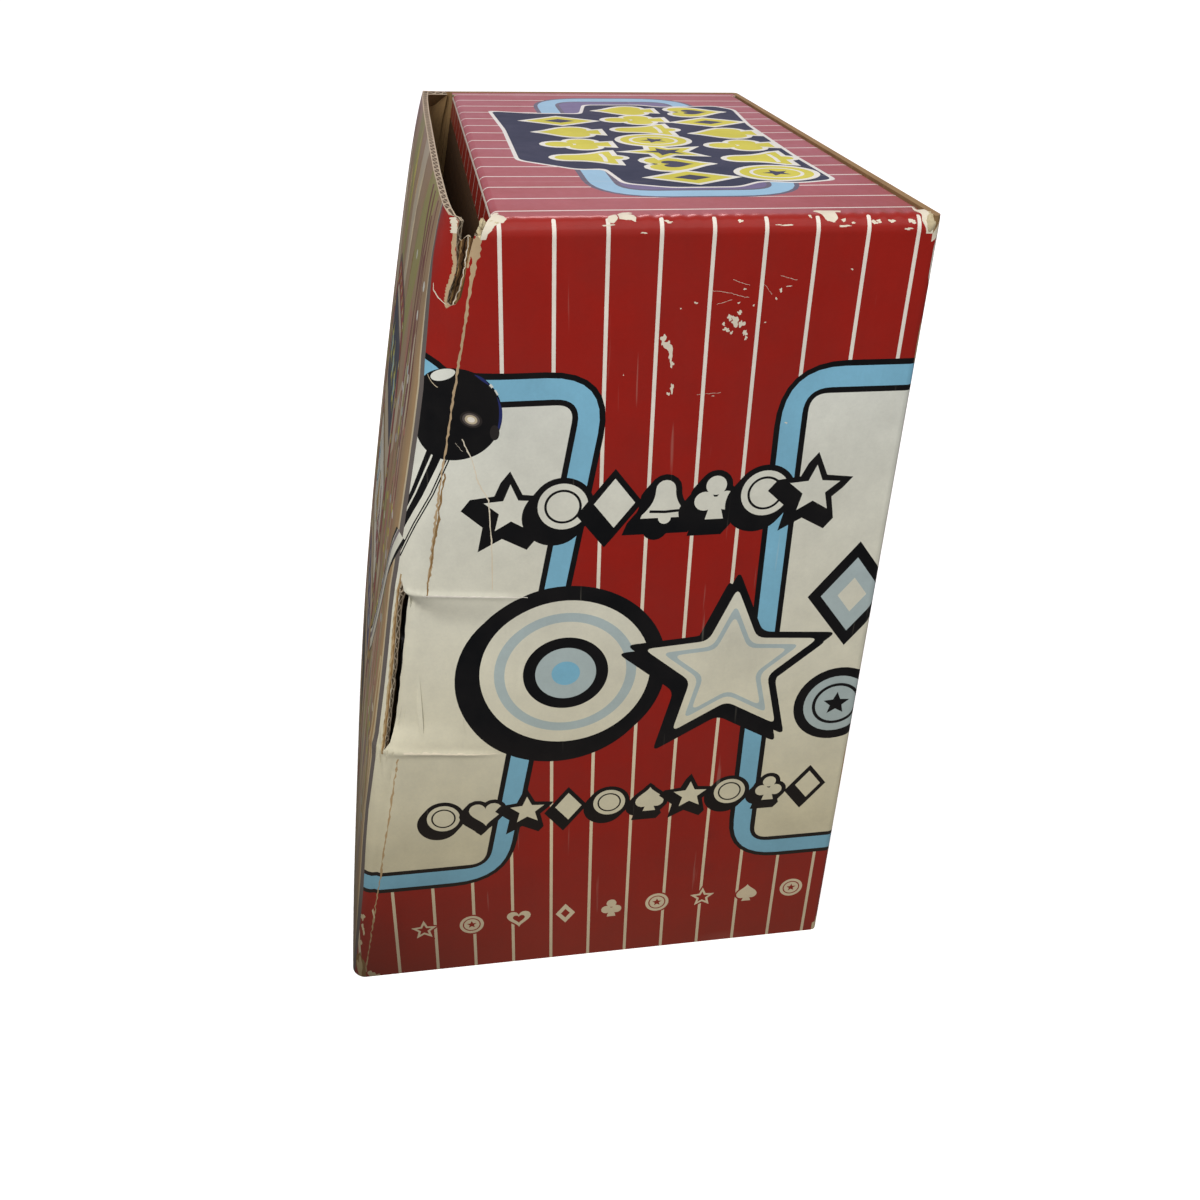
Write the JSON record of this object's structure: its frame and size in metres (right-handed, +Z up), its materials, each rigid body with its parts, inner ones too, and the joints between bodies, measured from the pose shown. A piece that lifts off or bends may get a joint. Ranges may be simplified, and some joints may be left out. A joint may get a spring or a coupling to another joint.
{
  "type": "slot machine coin bank in its carton",
  "caption": "Toy slot machine coin bank with spinning reels, side lever, coin slot and payout flap, packed in a wedge-shaped printed corrugated carton with a hinged tuck lid.",
  "frame": {"origin": "centre of the overall box at the table, under the carton", "axes": "+Z up; -Y is the near side panel, past the bank's lever; -X is the leaning picture panel, the bank's front; +X is the upright back"},
  "size_m": [0.134, 0.162, 0.204],
  "materials": {
    "printed_board": "gloss varnished print on white-lined corrugated board",
    "kraft_board": "bare kraft corrugated board",
    "cabinet_plastic": "silver-grey moulding",
    "dark_plastic": "fine texture",
    "rubber_feet": "matt",
    "screw_steel": "bright",
    "gilt_plastic": "gilt lacquer",
    "clear_pane": "clear",
    "red_plastic": "gloss",
    "grey_plastic": "satin",
    "frame_steel": "zinc plated",
    "bright_steel": "drawn",
    "ivory_plastic": "satin",
    "reel_paper": "coated paper",
    "chrome_plate": "polished",
    "black_plastic": "high gloss"
  },
  "bodies": {
    "carton": {"near_side_panel": "printed_board", "front_panel": "printed_board", "back_panel": "printed_board", "far_side_panel": "printed_board", "glue_flap": "kraft_board", "near_bottom_flap": "kraft_board", "far_bottom_flap": "kraft_board", "front_bottom_flap": "kraft_board", "back_bottom_flap": "kraft_board", "packing_tray": "kraft_board", "lever_spacer": "kraft_board", "cabinet_shell": "cabinet_plastic", "base_plate": "dark_plastic", "rubber_feet": "rubber_feet", "rear_cover": "dark_plastic", "cover_screws": "screw_steel", "base_screws": "screw_steel", "window_bezel": "gilt_plastic", "window_pane": "clear_pane", "marquee_frame": "gilt_plastic", "marquee_face": "red_plastic", "coin_slot_plate": "gilt_plastic", "coin_chute": "grey_plastic", "payout_cup": "grey_plastic", "near_frame_plate": "frame_steel", "far_frame_plate": "frame_steel", "frame_tie_bar": "bright_steel", "reel_axle": "bright_steel", "axle_clips": "dark_plastic", "reel_spacers": "dark_plastic", "detent_springs": "bright_steel", "lever_bush": "chrome_plate", "return_spring": "bright_steel"},
    "lid": {"lid_panel": "printed_board"},
    "tuck": {"tuck_flap": "printed_board"},
    "ear_front": {"front_ear": "printed_board"},
    "ear_back": {"back_ear": "printed_board"},
    "lever": {"lever_shaft": "bright_steel", "lever_hub": "chrome_plate", "lever_arm": "chrome_plate", "lever_knob": "black_plastic", "kicker_fingers": "bright_steel", "spring_sleeve": "dark_plastic"},
    "reel_l": {"left_reel": "ivory_plastic", "left_strip": "reel_paper"},
    "reel_m": {"middle_reel": "ivory_plastic", "middle_strip": "reel_paper"},
    "reel_r": {"right_reel": "ivory_plastic", "right_strip": "reel_paper"},
    "coin_flap": {"payout_flap": "gilt_plastic"},
    "plug": {"coin_plug": "dark_plastic"}
  },
  "joints": [
    {"name": "lid_fold", "type": "hinge", "parent": "carton", "child": "lid", "pos_m": [0, -0.0794, 0.2024], "axis": [1, 0, 0], "range_deg": [0, 135]},
    {"name": "tuck_fold", "type": "hinge", "parent": "lid", "child": "tuck", "pos_m": [0, 0.0774, 0.2024], "axis": [-1, 0, 0], "range_deg": [0, 15]},
    {"name": "front_ear_fold", "type": "hinge", "parent": "lid", "child": "ear_front", "pos_m": [-0.02151, 0, 0.2024], "axis": [0, -1, 0], "range_deg": [0, 15]},
    {"name": "back_ear_fold", "type": "hinge", "parent": "lid", "child": "ear_back", "pos_m": [0.06342, 0, 0.2024], "axis": [0, 1, 0], "range_deg": [0, 15]},
    {"name": "lever_pull", "type": "hinge", "parent": "carton", "child": "lever", "pos_m": [0.02042, 0, 0.0694], "axis": [0, -1, 0], "range_deg": [0, 40], "stiffness_Nm_per_rad": 0.05, "springref_deg": -28.65},
    {"name": "left_reel_spin", "type": "hinge", "parent": "carton", "child": "reel_l", "pos_m": [0.00578, 0.0518, 0.11841], "axis": [0, 1, 0], "continuous": true},
    {"name": "middle_reel_spin", "type": "hinge", "parent": "carton", "child": "reel_m", "pos_m": [0.00578, 0.0174, 0.11841], "axis": [0, 1, 0], "continuous": true},
    {"name": "right_reel_spin", "type": "hinge", "parent": "carton", "child": "reel_r", "pos_m": [0.00578, -0.017, 0.11841], "axis": [0, 1, 0], "continuous": true},
    {"name": "payout_flap_swing", "type": "hinge", "parent": "carton", "child": "coin_flap", "pos_m": [-0.03854, 0.0174, 0.05543], "axis": [0, -1, 0], "range_deg": [-8, 45]},
    {"name": "coin_plug_turn", "type": "hinge", "parent": "carton", "child": "plug", "pos_m": [0.02142, 0.0174, 0.0094], "axis": [0, 0, 1], "range_deg": [0, 90]}
  ]
}
